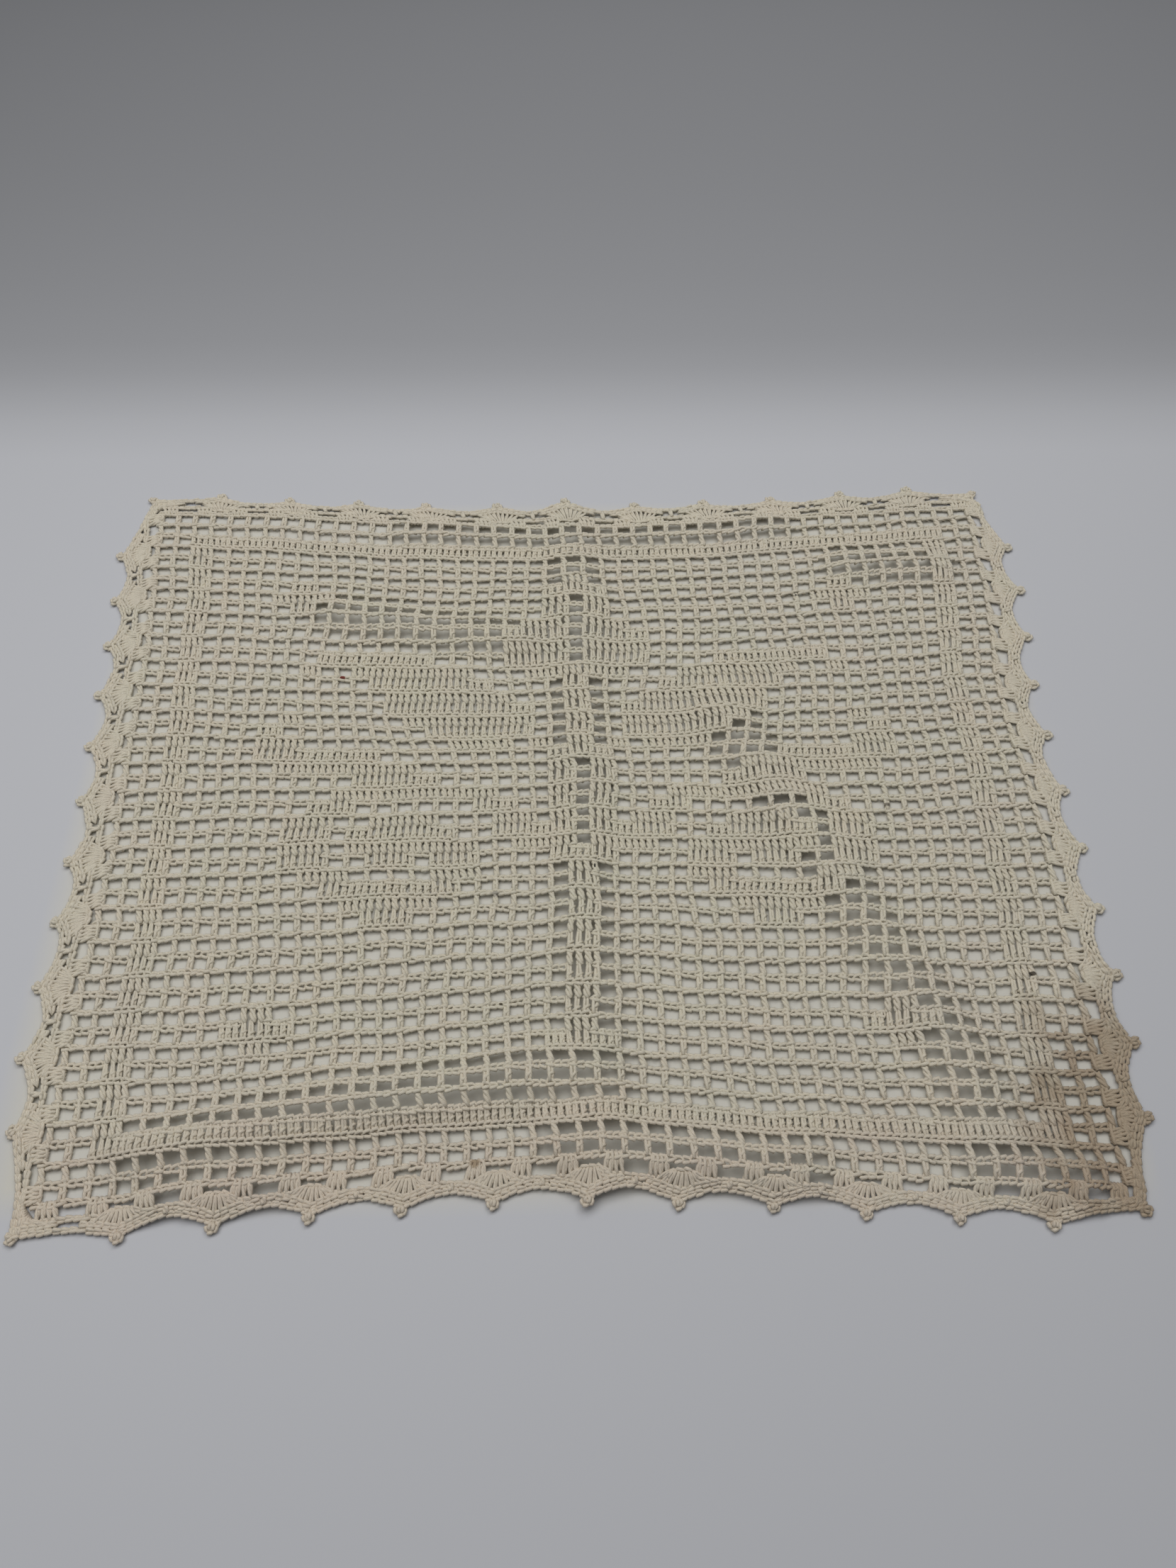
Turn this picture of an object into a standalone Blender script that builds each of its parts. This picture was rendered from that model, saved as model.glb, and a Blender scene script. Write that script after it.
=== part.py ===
"""A rectangular filet crochet doily, worked in one piece of ecru cotton.

A net of open cells carries a flower in filled cells, framed by a solid band with two open rows
beyond it. A shell edging with a picot on each point runs round the outside. The doily lies on its
underside, flat apart from the low ridges that old folds leave and the sides that wander in and out.

It is one solid. The net is cut at twice its own pitch, one gap for each block of two by two open
cells. In the open rows beyond the band every eighth block is cut, and the rest stay closed.
"""

import math

import bmesh
import bpy
import numpy as np
from mathutils import Vector

MM = 0.001

# The net. Places on it are given in cells from its middle: columns to +X, rows to +Y.
COLUMN = 8.4 * MM
ROW = 6.72 * MM
FIELD_HALF = 20.5
BAND_CELLS = 1
OPEN_CELLS = 2
NET_HALF = FIELD_HALF + BAND_CELLS + OPEN_CELLS
BLOCK = 2
# Of the blocks beyond the band, one in this many is cut through.
RIM_BLOCKS = 8
BAR_WIDTH = 2.2 * MM
THICKNESS = 2.2 * MM

# The flower, in cells. The left half mirrors the right.
BUD_TOP = 18
# The bud's half width in each row from its top down.
BUD_HALVES = (0, 1, 1, 1, 2, 3, 3, 3, 2)
BUD_SLIT = (11, 16)
NECK = (4, 9)
THROAT = (-5, 3)
THROAT_SLIT = (-4, 2)
# The arms step up and outwards from the throat to the lobes.
ARM_ROWS = (-4, 0)
ARM_STEPS = (5, 6)
ARM_WIDE_ROWS = (-4, -3)
STEM = (-16, -6)
FOOT_ROW = -17
# Tip and root of each leaf (column, row), its half width on its outer and on its inner side, and
# how fast it narrows.
LEAVES = (
    ((12.13, 11.15), (1.85, 3.08), (1.81, 3.34), 1.07),
    ((17.0, 3.3), (7.5, 1.2), (1.05, 1.05), 0.57),
)
LEAF_CURLS = ((13, 11), (14, 10), (15, 6), (16, 5), (16, 4), (15, 4), (6, 4), (2, 4))
LEAF_NOTCHES = ((3, 4), (10, 8))
LOBE_MIDDLE = (9.6, -3.58)
LOBE_RADII = (4.65, 5.0)
LOBE_INNER_SHARE = 0.64
LOBE_MOUTH = (8, -4, -1)
LOBE_TAIL = ((9, -9), (10, -9))
HEART_MIDDLE = (8.7, -3.6)
HEART_RADII = (2.8, 1.97)
HEART_EYE = (8, -5)
STARS = ((15, 16), (15, -15))

# The edging: how far its picots stand out from the net on each side, and, from the net's
# corners, to the sides and to the back or front.
SCALLOPS = 12
SCALLOP_CELLS = 4
EDGING = {"back": 18.0 * MM, "front": 14.5 * MM, "left": 16.6 * MM, "right": 14.7 * MM}
CORNER_REACH = {
    "back_left": (6.0 * MM, 13.5 * MM),
    "back_right": (4.0 * MM, 12.0 * MM),
    "front_right": (6.5 * MM, 8.5 * MM),
    "front_left": (9.0 * MM, 12.0 * MM),
}
SCALLOP_SAG = 3.6 * MM
CORNER_SAG = 1.2 * MM
SCALLOP_STEPS = (0.12, 0.3, 0.5, 0.7, 0.88)
PICOT_LENGTH = 3.2 * MM
# The picot's outline: along the edge and back from its tip.
PICOT_PROFILE = (
    (-2.2 * MM, 3.2 * MM),
    (-1.7 * MM, 1.3 * MM),
    (0.0, 0.0),
    (1.7 * MM, 1.3 * MM),
    (2.2 * MM, 3.2 * MM),
)

# How far each side of the net stands out from a straight line, at seven places along it:
# from -X to +X on the back and the front, from -Y to +Y on the left and the right.
SIDE_BOW_MM = {
    "back": (4.8, 0.4, -3.4, -4.5, -3.0, 0.9, 5.4),
    "front": (5.0, 0.7, -3.3, -5.0, -2.7, 1.3, 5.0),
    "left": (-9.1, -3.7, -3.4, -1.7, 2.2, 5.5, 10.3),
    "right": (-4.2, 0.3, 0.5, -0.9, -1.4, 3.4, 2.5),
}

# How far the rows stray to the back, and the columns to the right, where the net has stretched:
# at seven places from -X to +X along seven lines, the line at the back first.
ROW_STRAY_MM = (
    (4.0, 2.4, 0.2, -1.1, -0.3, 2.6, 4.0),
    (3.6, 3.3, 1.4, 1.7, 1.3, 2.5, 2.7),
    (3.0, 1.3, -0.3, -0.7, 0.4, 0.9, 3.0),
    (2.0, 2.2, 2.0, 2.8, 2.0, 1.7, 3.6),
    (2.0, 2.6, 3.6, 4.2, 2.5, 2.4, 2.1),
    (0.3, -0.6, 1.1, 3.5, 0.1, 0.4, 0.0),
    (-0.3, 1.7, 2.3, 3.4, 1.2, 0.4, 0.3),
)
COLUMN_STRAY_MM = (
    (2.2, 3.0, 3.9, 3.0, 2.2, 1.6, -1.8),
    (3.6, 2.4, 1.5, 1.7, 1.4, -0.8, -3.4),
    (4.2, 3.0, 1.2, 3.0, 3.5, 0.7, -4.6),
    (3.4, 2.9, 2.8, 3.0, 2.0, -1.1, -2.8),
    (3.2, 0.5, 1.8, 1.1, 0.3, -2.6, -4.0),
    (2.0, 1.1, 1.5, -0.1, -0.9, -3.6, -5.0),
    (-2.0, 1.4, 2.1, 1.6, 2.6, 3.2, 0.6),
)
# Beyond the net the stray fades out over this distance, short of the picots.
STRAY_FADE = 14.0 * MM
# The flower's cells are fuller than the open ones and push their neighbours aside, by this share
# of a column, which fades over these columns and rows.
PUSH = 0.15
PUSH_COLUMNS = 5.0
PUSH_ROWS = 1.8

# The ridges of the old folds: height, half width, and the cells that the crest runs through.
RIDGES = {
    "middle_fold": (3.6 * MM, 20 * MM, ((0, 27), (0.5, 9), (0, -7), (1, -26))),
    "right_diagonal": (
        4.5 * MM,
        21 * MM,
        ((8, 6), (10.4, 0), (12.0, -4), (13.2, -8), (14.6, -11), (16.6, -16), (18.0, -22)),
    ),
    "back_left_fold": (4.0 * MM, 17 * MM, ((-13, 15.2), (-8, 14), (-2.8, 13))),
    "front_left_fold": (5.5 * MM, 18 * MM, ((-19.5, -21.2), (-10, -19.5), (-1, -18))),
    "back_right_fold": (3.5 * MM, 16 * MM, ((15.5, 19.2), (20.5, 18.4))),
    "front_edge_right": (5.0 * MM, 17 * MM, ((-1, -22), (4.5, -22.8), (9.5, -23.2))),
    "front_edge_left": (3.5 * MM, 14 * MM, ((-18.5, -23.5), (-13.5, -23.5))),
    "back_edge": (2.6 * MM, 14 * MM, ((-9, 23), (2, 22.6), (12, 23.2))),
    "front_right_corner": (4.5 * MM, 16 * MM, ((17.6, -22.2), (21.6, -23.2))),
}

ECRU = (0.515, 0.475, 0.375, 1.0)
ECRU_ROUGHNESS = 0.9


def inside(value, limits):
    return limits[0] <= value <= limits[1]


def in_leaf(column, row, tip, root, half_widths, narrowing):
    """Whether a cell lies in a leaf that narrows from its middle to its tip and root."""
    along = Vector(root) - Vector(tip)
    offset = Vector((column, row)) - Vector(tip)
    share = offset.dot(along) / along.length_squared
    if not 0 <= share <= 1:
        return False
    aside = (offset.x * along.y - offset.y * along.x) / along.length
    half_width = half_widths[1] if aside > 0 else half_widths[0]
    return abs(aside) <= half_width * (4 * share * (1 - share)) ** narrowing


def oval_share(column, row, middle, radii):
    """How far out a cell lies in an oval: 1 on its rim."""
    return math.hypot((column - middle[0]) / radii[0], (row - middle[1]) / radii[1])


def in_bud(column, row):
    down = BUD_TOP - row
    if not 0 <= down < len(BUD_HALVES) or (column == 0 and inside(row, BUD_SLIT)):
        return False
    return column <= BUD_HALVES[down]


def in_stem(column, row):
    if column == 0 and (inside(row, NECK) or inside(row, STEM)):
        return True
    if column <= 1 and (row == FOOT_ROW or inside(row, THROAT)):
        return not (column == 0 and inside(row, THROAT_SLIT))
    steps = ARM_STEPS[1] + (1 if inside(row, ARM_WIDE_ROWS) else 0)
    return column > 1 and inside(row, ARM_ROWS) and inside(column - row, (ARM_STEPS[0], steps))


def in_lobe(column, row):
    reach, low, high = LOBE_MOUTH
    mouth = column < reach and inside(row, (low, high))
    ring = inside(oval_share(column, row, LOBE_MIDDLE, LOBE_RADII), (LOBE_INNER_SHARE, 1))
    if (ring and not mouth) or (column, row) in LOBE_TAIL:
        return True
    heart = oval_share(column, row, HEART_MIDDLE, HEART_RADII) <= 1
    return heart and (column, row) != HEART_EYE


def in_star(column, row):
    return any(abs(column - c) + abs(row - r) <= 1 for c, r in STARS)


def filled(column, row):
    """Whether the chart fills this cell of the field."""
    column = abs(column)
    if (column, row) in LEAF_CURLS or in_star(column, row):
        return True
    if in_bud(column, row) or in_stem(column, row) or in_lobe(column, row):
        return True
    leaf = any(in_leaf(column, row, *leaf) for leaf in LEAVES)
    return leaf and (column, row) not in LEAF_NOTCHES


def block_edges():
    """The block lines across the net: the middle cell and the band are one cell wide."""
    half = [0.5 + BLOCK * step for step in range(int(FIELD_HALF / BLOCK) + 1)]
    half += [FIELD_HALF + BAND_CELLS, NET_HALF]
    return [-edge for edge in reversed(half)] + half


def block_is_cut(edges, i, j):
    """Whether the block between lines i and i + 1 and between lines j and j + 1 is cut through."""
    last = len(edges) - 2
    rim_i, rim_j = i in (0, last), j in (0, last)
    if rim_i or rim_j:
        return i % RIM_BLOCKS == 0 and j % RIM_BLOCKS == 0
    if i in (1, last - 1) or j in (1, last - 1):
        return False
    columns = range(math.ceil(edges[i]), math.floor(edges[i + 1]) + 1)
    rows = range(math.ceil(edges[j]), math.floor(edges[j + 1]) + 1)
    return not any(filled(column, row) for column in columns for row in rows)


def make_net(sheet):
    """The flat net in blocks, with its gaps cut through."""
    edges = block_edges()
    count = len(edges) - 1
    grid = bmesh.ops.create_grid(sheet, x_segments=count, y_segments=count, size=1)
    for vert in grid["verts"]:
        i = round((vert.co.x + 1) / 2 * count)
        j = round((vert.co.y + 1) / 2 * count)
        vert.co = Vector((edges[i] * COLUMN, edges[j] * ROW, 0))
    gaps = []
    for face in sheet.faces:
        middle = face.calc_center_median()
        i = sum(edge * COLUMN < middle.x for edge in edges) - 1
        j = sum(edge * ROW < middle.y for edge in edges) - 1
        if block_is_cut(edges, i, j):
            gaps.append(face)
    bmesh.ops.inset_individual(sheet, faces=gaps, thickness=BAR_WIDTH / 2, use_even_offset=True)
    bmesh.ops.delete(sheet, geom=gaps, context="FACES")


def picot_places():
    """Each picot's tip, the way that it points and the sag of the edge after it.

    They run clockwise from the back left corner.
    """
    half_x, half_y = NET_HALF * COLUMN, NET_HALF * ROW
    pitch_x, pitch_y = SCALLOP_CELLS * COLUMN, SCALLOP_CELLS * ROW
    sides = (
        ("back_left", "back", (-1, 1), (1, 0), (0, 1)),
        ("back_right", "right", (1, 1), (0, -1), (1, 0)),
        ("front_right", "front", (1, -1), (-1, 0), (0, -1)),
        ("front_left", "left", (-1, -1), (0, 1), (-1, 0)),
    )
    places = []
    for corner, side, (sign_x, sign_y), along, outward in sides:
        reach_x, reach_y = CORNER_REACH[corner]
        tip = Vector((sign_x * (half_x + reach_x), sign_y * (half_y + reach_y)))
        places.append((tip, Vector((sign_x, sign_y)).normalized(), CORNER_SAG))
        for step in range(1, SCALLOPS):
            place = step - SCALLOPS / 2
            tip = Vector((along[0] * pitch_x * place, along[1] * pitch_y * place))
            tip.x += outward[0] * (half_x + EDGING[side])
            tip.y += outward[1] * (half_y + EDGING[side])
            sag = CORNER_SAG if step == SCALLOPS - 1 else SCALLOP_SAG
            places.append((tip, Vector(outward), sag))
    return places


def outline_points():
    """The scalloped outline, clockwise from the back left corner."""
    places = picot_places()
    points = []
    for (tip, outward, sag), (next_tip, next_outward, _) in zip(places, places[1:] + places[:1]):
        clockwise = Vector((outward.y, -outward.x))
        points += [tip + clockwise * along - outward * back for along, back in PICOT_PROFILE]
        start = tip - outward * PICOT_LENGTH
        chord = next_tip - next_outward * PICOT_LENGTH - start
        inward = Vector((chord.y, -chord.x)).normalized()
        points += [
            start + chord * share + inward * sag * math.sin(math.pi * share)
            for share in SCALLOP_STEPS
        ]
    return points


def make_edging(sheet):
    """Fills the flat sheet from the net's rim out to the scalloped outline."""
    half_x, half_y = NET_HALF * COLUMN, NET_HALF * ROW
    rim = [
        edge
        for edge in sheet.edges
        if edge.is_boundary
        and (
            all(abs(abs(vert.co.x) - half_x) < BAR_WIDTH / 4 for vert in edge.verts)
            or all(abs(abs(vert.co.y) - half_y) < BAR_WIDTH / 4 for vert in edge.verts)
        )
    ]
    verts = [sheet.verts.new((point.x, point.y, 0)) for point in outline_points()]
    outline = [sheet.edges.new(pair) for pair in zip(verts, verts[1:] + verts[:1])]
    bmesh.ops.triangle_fill(sheet, edges=rim + outline, use_beauty=True, normal=(0, 0, 1))


def smooth(values, share):
    """The value at a share from -1 to 1 along a row of values, on a smooth curve through them."""
    last = len(values) - 1
    place = (min(max(share, -1), 1) + 1) / 2 * last
    i = min(int(place), last - 1)
    t = place - i
    a, b, c, d = (values[min(max(i + step, 0), last)] for step in (-1, 0, 1, 2))
    return b + 0.5 * t * (c - a + t * (2 * a - 5 * b + 4 * c - d + t * (3 * (b - c) + d - a)))


def stray(table, x, y):
    """How far a place on the flat sheet strays from where an even net would have it."""
    half_x, half_y = NET_HALF * COLUMN, NET_HALF * ROW
    lines = [smooth(line, x / half_x) for line in table]
    return smooth(lines, -y / half_y) * MM


def fade(x, y):
    """What is left of a stray beyond the net, where it fades towards the picots."""
    beyond = max(abs(x) - NET_HALF * COLUMN, abs(y) - NET_HALF * ROW, 0)
    return max(1 - beyond / STRAY_FADE, 0)


def push_table():
    """How far the flower pushes each column line of each row aside."""
    cells = np.arange(-int(FIELD_HALF), int(FIELD_HALF) + 1)
    rows = np.arange(-int(NET_HALF), int(NET_HALF) + 1)
    full = np.array([[filled(column, row) for column in cells] for row in cells], float)
    deep = np.exp(-(((rows[:, None] - cells) / PUSH_ROWS) ** 2) / 2)
    away = np.arange(-NET_HALF, NET_HALF + 1)[None, :] - cells[:, None]
    across = np.sign(away) * np.exp(-(np.abs(away) - 0.5) / PUSH_COLUMNS)
    return PUSH * COLUMN / (PUSH_ROWS * math.sqrt(2 * math.pi)) * (deep @ full @ across)


PUSHES = push_table()


def pushed(x, y):
    """How far the flower pushes a place on the flat sheet to the right."""
    column = min(max(x / COLUMN + NET_HALF, 0), 2 * NET_HALF - 0.001)
    row = min(max(y / ROW + int(NET_HALF), 0), 2 * int(NET_HALF) - 0.001)
    i, j = int(column), int(row)
    a, b = column - i, row - j
    near = PUSHES[j, i] * (1 - a) + PUSHES[j, i + 1] * a
    far = PUSHES[j + 1, i] * (1 - a) + PUSHES[j + 1, i + 1] * a
    return float(near * (1 - b) + far * b)


def from_line(point, start, end):
    """How far a point lies from the stretch between two others."""
    along = end - start
    share = (point - start).dot(along) / along.length_squared
    return (point - start - along * min(max(share, 0), 1)).length


def lift(x, y):
    """How high the underside stands over a place on the flat sheet."""
    point = Vector((x, y))
    total = 0
    for height, half_width, cells in RIDGES.values():
        crest = [Vector((column * COLUMN, row * ROW)) for column, row in cells]
        away = min(from_line(point, a, b) for a, b in zip(crest, crest[1:]))
        if away < half_width:
            total += (height * (0.5 + 0.5 * math.cos(math.pi * away / half_width))) ** 2
    return math.sqrt(total)


def lie(co):
    """Moves a place on the flat sheet to where the doily lies."""
    left = fade(co.x, co.y)
    x = co.x + (stray(COLUMN_STRAY_MM, co.x, co.y) + pushed(co.x, co.y)) * left
    y = co.y + stray(ROW_STRAY_MM, co.x, co.y) * left
    s, t = x / (NET_HALF * COLUMN), y / (NET_HALF * ROW)
    to_right = (1 + s) / 2 * smooth(SIDE_BOW_MM["right"], t)
    to_left = (1 - s) / 2 * smooth(SIDE_BOW_MM["left"], t)
    to_back = (1 + t) / 2 * smooth(SIDE_BOW_MM["back"], s)
    to_front = (1 - t) / 2 * smooth(SIDE_BOW_MM["front"], s)
    return Vector(
        (x + (to_right - to_left) * MM, y + (to_back - to_front) * MM, co.z + lift(x, y))
    )


def make_doily():
    sheet = bmesh.new()
    make_net(sheet)
    make_edging(sheet)
    faces = list(sheet.faces)
    edges = list(sheet.edges)
    raised = bmesh.ops.extrude_face_region(sheet, geom=faces + edges, use_keep_orig=True)
    tops = [item for item in raised["geom"] if isinstance(item, bmesh.types.BMVert)]
    bmesh.ops.translate(sheet, verts=tops, vec=(0, 0, THICKNESS))
    for vert in sheet.verts:
        vert.co = lie(vert.co)
    low = [min(vert.co[axis] for vert in sheet.verts) for axis in range(2)]
    high = [max(vert.co[axis] for vert in sheet.verts) for axis in range(2)]
    middle = Vector(((low[0] + high[0]) / 2, (low[1] + high[1]) / 2, 0))
    bmesh.ops.translate(sheet, verts=sheet.verts, vec=-middle)
    bmesh.ops.recalc_face_normals(sheet, faces=sheet.faces)
    mesh = bpy.data.meshes.new("lace_doily")
    sheet.to_mesh(mesh)
    sheet.free()
    return mesh


def cotton():
    material = bpy.data.materials.new("ecru_cotton")
    material.use_nodes = True
    shader = material.node_tree.nodes["Principled BSDF"]
    shader.inputs["Base Color"].default_value = ECRU
    shader.inputs["Roughness"].default_value = ECRU_ROUGHNESS
    shader.inputs["Metallic"].default_value = 0.0
    return material


def main():
    for old in list(bpy.data.objects):
        bpy.data.objects.remove(old, do_unlink=True)
    doily = bpy.data.objects.new("lace_doily", make_doily())
    doily.data.materials.append(cotton())
    bpy.context.scene.collection.objects.link(doily)


main()
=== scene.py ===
"""A rectangular filet crochet doily in ecru cotton, laid flat on a pale surface.

The cloth is built from its own stitches. A double crochet is two or three strands of cord twisted
round each other, and a chain stitch is a loop drawn through the one before it. The stitches are
placed on the flat chart, and the whole cloth is then moved to where it lies, with the ridges of
its old folds and the sides that wander in and out.

Places and sizes on the flat cloth are in millimetres, from the middle of the net. The rows run
along X and were worked from the back, +Y, to the front. In the rows that show their reverse a wrap
crosses each double crochet, and the braid along their front edge shows. The stage, the light and
the colours' noises are in metres.
"""

import math

import bmesh
import bpy
import numpy as np
from mathutils import Matrix, Vector


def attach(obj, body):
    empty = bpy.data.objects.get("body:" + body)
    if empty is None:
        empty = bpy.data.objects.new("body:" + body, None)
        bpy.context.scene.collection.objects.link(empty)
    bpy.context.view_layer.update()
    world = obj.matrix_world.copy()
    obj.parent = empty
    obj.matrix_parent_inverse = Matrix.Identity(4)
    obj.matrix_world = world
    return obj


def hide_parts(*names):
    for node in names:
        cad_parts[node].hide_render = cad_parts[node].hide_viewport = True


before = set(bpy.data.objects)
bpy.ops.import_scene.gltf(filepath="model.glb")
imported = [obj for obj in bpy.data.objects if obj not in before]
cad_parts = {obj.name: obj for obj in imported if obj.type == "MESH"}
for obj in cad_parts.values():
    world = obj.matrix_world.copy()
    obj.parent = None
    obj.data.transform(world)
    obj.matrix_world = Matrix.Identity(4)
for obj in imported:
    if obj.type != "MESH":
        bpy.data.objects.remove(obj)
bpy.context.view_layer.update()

MM = 0.001
SEED = 7
CHANCE = np.random.default_rng(SEED)

# The net, in cells of this width and depth: the field with the flower, the solid band round it, and
# the open cells beyond.
COLUMN = 8.4
ROW = 6.72
FIELD_HALF = 20.5
BAND_CELLS = 1
OPEN_CELLS = 2
NET_HALF = FIELD_HALF + BAND_CELLS + OPEN_CELLS
CELL_STITCHES = 3
HALF_X, HALF_Y = NET_HALF * COLUMN, NET_HALF * ROW
LAST_CELL = int(NET_HALF)
BAND_CELL = int(FIELD_HALF) + BAND_CELLS

# The flower, in cells. The left half mirrors the right.
BUD_TOP = 18
# The bud's half width in each row from its top down.
BUD_HALVES = (0, 1, 1, 1, 2, 3, 3, 3, 2)
BUD_SLIT = (11, 16)
NECK = (4, 9)
THROAT = (-5, 3)
THROAT_SLIT = (-4, 2)
# The arms step up and outwards from the throat to the lobes.
ARM_ROWS = (-4, 0)
ARM_STEPS = (5, 6)
ARM_WIDE_ROWS = (-4, -3)
STEM = (-16, -6)
FOOT_ROW = -17
# Tip and root of each leaf (column, row), its half width on its outer and on its inner side, and
# how fast it narrows.
LEAVES = (
    ((12.13, 11.15), (1.85, 3.08), (1.81, 3.34), 1.07),
    ((17.0, 3.3), (7.5, 1.2), (1.05, 1.05), 0.57),
)
LEAF_CURLS = ((13, 11), (14, 10), (15, 6), (16, 5), (16, 4), (15, 4), (6, 4), (2, 4))
LEAF_NOTCHES = ((3, 4), (10, 8))
LOBE_MIDDLE = (9.6, -3.58)
LOBE_RADII = (4.65, 5.0)
LOBE_INNER_SHARE = 0.64
LOBE_MOUTH = (8, -4, -1)
LOBE_TAIL = ((9, -9), (10, -9))
HEART_MIDDLE = (8.7, -3.6)
HEART_RADII = (2.8, 1.97)
HEART_EYE = (8, -5)
STARS = ((15, 16), (15, -15))

# The edging: the arcs along a side, the cells to an arc, and how far the picots stand out from the
# net. The sags are how far the arcs dip between them.
SCALLOPS = 12
SCALLOP_CELLS = 4
EDGING = {"back": 18.0, "front": 14.5, "left": 16.6, "right": 14.7}
CORNER_REACH = {
    "back_left": (6.0, 13.5),
    "back_right": (4.0, 12.0),
    "front_right": (6.5, 8.5),
    "front_left": (9.0, 12.0),
}
SCALLOP_SAG = 3.6
CORNER_SAG = 1.2
PICOT_LENGTH = 3.2

# How far each side of the net stands out from a straight line, at seven places along it.
SIDE_BOW = {
    "back": (4.8, 0.4, -3.4, -4.5, -3.0, 0.9, 5.4),
    "front": (5.0, 0.7, -3.3, -5.0, -2.7, 1.3, 5.0),
    "left": (-9.1, -3.7, -3.4, -1.7, 2.2, 5.5, 10.3),
    "right": (-4.2, 0.3, 0.5, -0.9, -1.4, 3.4, 2.5),
}

# How far the rows stray to the back and the columns to the right, where the net has stretched:
# at seven places from the left to the right along seven lines, the back one first. Beyond the
# net the stray fades out over this length.
ROW_STRAY = (
    (4.0, 2.4, 0.2, -1.1, -0.3, 2.6, 4.0),
    (3.6, 3.3, 1.4, 1.7, 1.3, 2.5, 2.7),
    (3.0, 1.3, -0.3, -0.7, 0.4, 0.9, 3.0),
    (2.0, 2.2, 2.0, 2.8, 2.0, 1.7, 3.6),
    (2.0, 2.6, 3.6, 4.2, 2.5, 2.4, 2.1),
    (0.3, -0.6, 1.1, 3.5, 0.1, 0.4, 0.0),
    (-0.3, 1.7, 2.3, 3.4, 1.2, 0.4, 0.3),
)
COLUMN_STRAY = (
    (2.2, 3.0, 3.9, 3.0, 2.2, 1.6, -1.8),
    (3.6, 2.4, 1.5, 1.7, 1.4, -0.8, -3.4),
    (4.2, 3.0, 1.2, 3.0, 3.5, 0.7, -4.6),
    (3.4, 2.9, 2.8, 3.0, 2.0, -1.1, -2.8),
    (3.2, 0.5, 1.8, 1.1, 0.3, -2.6, -4.0),
    (2.0, 1.1, 1.5, -0.1, -0.9, -3.6, -5.0),
    (-2.0, 1.4, 2.1, 1.6, 2.6, 3.2, 0.6),
)
STRAY_FADE = 14.0
# The flower's cells are fuller than the open ones and push their neighbours aside, by this share
# of a column, which fades over these columns and rows.
PUSH = 0.15
PUSH_COLUMNS = 5.0
PUSH_ROWS = 1.8
# How far the net's rim at the back is stretched out, over its last rows.
BACK_STRETCH = (0.0, 2.9, 2.6, 0.4, 1.7, 0.4, -2.0)
STRETCHED_ROWS = 2

# The ridges of the old folds: height, half width, and the cells that the crest runs through.
RIDGES = {
    "middle_fold": (3.6, 20, ((0, 27), (0.5, 9), (0, -7), (1, -26))),
    "right_diagonal": (
        4.5,
        21,
        ((8, 6), (10.4, 0), (12.0, -4), (13.2, -8), (14.6, -11), (16.6, -16), (18.0, -22)),
    ),
    "back_left_fold": (4.0, 17, ((-13, 15.2), (-8, 14), (-2.8, 13))),
    "front_left_fold": (5.5, 18, ((-19.5, -21.2), (-10, -19.5), (-1, -18))),
    "back_right_fold": (3.5, 16, ((15.5, 19.2), (20.5, 18.4))),
    "front_edge_right": (5.0, 17, ((-1, -22), (4.5, -22.8), (9.5, -23.2))),
    "front_edge_left": (3.5, 14, ((-18.5, -23.5), (-13.5, -23.5))),
    "back_edge": (2.6, 14, ((-9, 23), (2, 22.6), (12, 23.2))),
    "front_right_corner": (4.5, 16, ((17.6, -22.2), (21.6, -23.2))),
}
# The middle of the solid's box, on the flat cloth's own axes.
BOX_MIDDLE = (-3.4869, 1.8141)

# The waves of the hand's unevenness: how far the long and the short ones stray.
LONG_WAVE, SHORT_WAVE = 0.35, 0.25

# The cord, and how low its middle may lie.
CORD_RADIUS = 0.75
LOWEST_CORD = 0.6
CORD_SIDES = 5

# A chain stitch. Its six points lie along it by shares of its length and aside by shares of its
# half width. The rise is in millimetres, and the thickness a share of the cord's.
CHAIN_PITCH = COLUMN / CELL_STITCHES
CHAIN_LENGTH = 4.1
CHAIN_HALF_WIDTH = 1.12
CHAIN_ALONG = (-0.5, -0.14, 0.24, 0.44, 0.24, -0.14)
CHAIN_ASIDE = (0, -0.7, -1, 0, 1, 0.7)
CHAIN_RISE = (-0.45, 0.3, 0.18, -0.8, 0.18, 0.3)
CHAIN_THICKNESS = (0.65, 1.0, 1.05, 0.75, 1.05, 1.0)
BRAID_HEIGHT = 1.75
BAR_HEIGHT = 1.45
BAR_SAG = 0.35
# In a reverse row the bars lie this much below the braid, rolled this far. In every row the
# chains past a bar's first one hang a little lower still.
BAR_DROP = 0.2
BAR_ROLL = 0.5
HANGING = 0.15
# The edging's chains are drawn tighter.
EDGE_CHAIN_WIDTH = 0.62

# The double crochets. The strands turn round each other by this angle from this start, and their
# middle line has these heights at equal shares of its way. The spread and the thickness are given
# at foot and top. Strands and steps are 2 and 4 where they aren't given.
PLAIN_POST = {
    "turn": -4.8,
    "start": 3.4,
    "heights": (1.2, 1.35, 1.2),
    "spread": (0.64, 0.8),
    "thickness": (0.9, 1.0),
    "strands": 3,
}
REVERSE_POST = {"turn": -1.3, "start": 0.5, "heights": (1.4, 1.3, 1.15), "steps": 3}
REVERSE_OPEN = {"spread": (0.64, 0.72), "thickness": (0.96, 1.04)}
REVERSE_FULL = {"spread": (0.4, 0.64), "thickness": (0.78, 0.98)}
FAN_POST = {
    "turn": -4.4,
    "start": 2.0,
    "heights": (0.3, 2.2, 1.7, 1.3, 1.1),
    "spread": (0.32, 0.6),
    "thickness": (0.75, 1.0),
}
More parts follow.
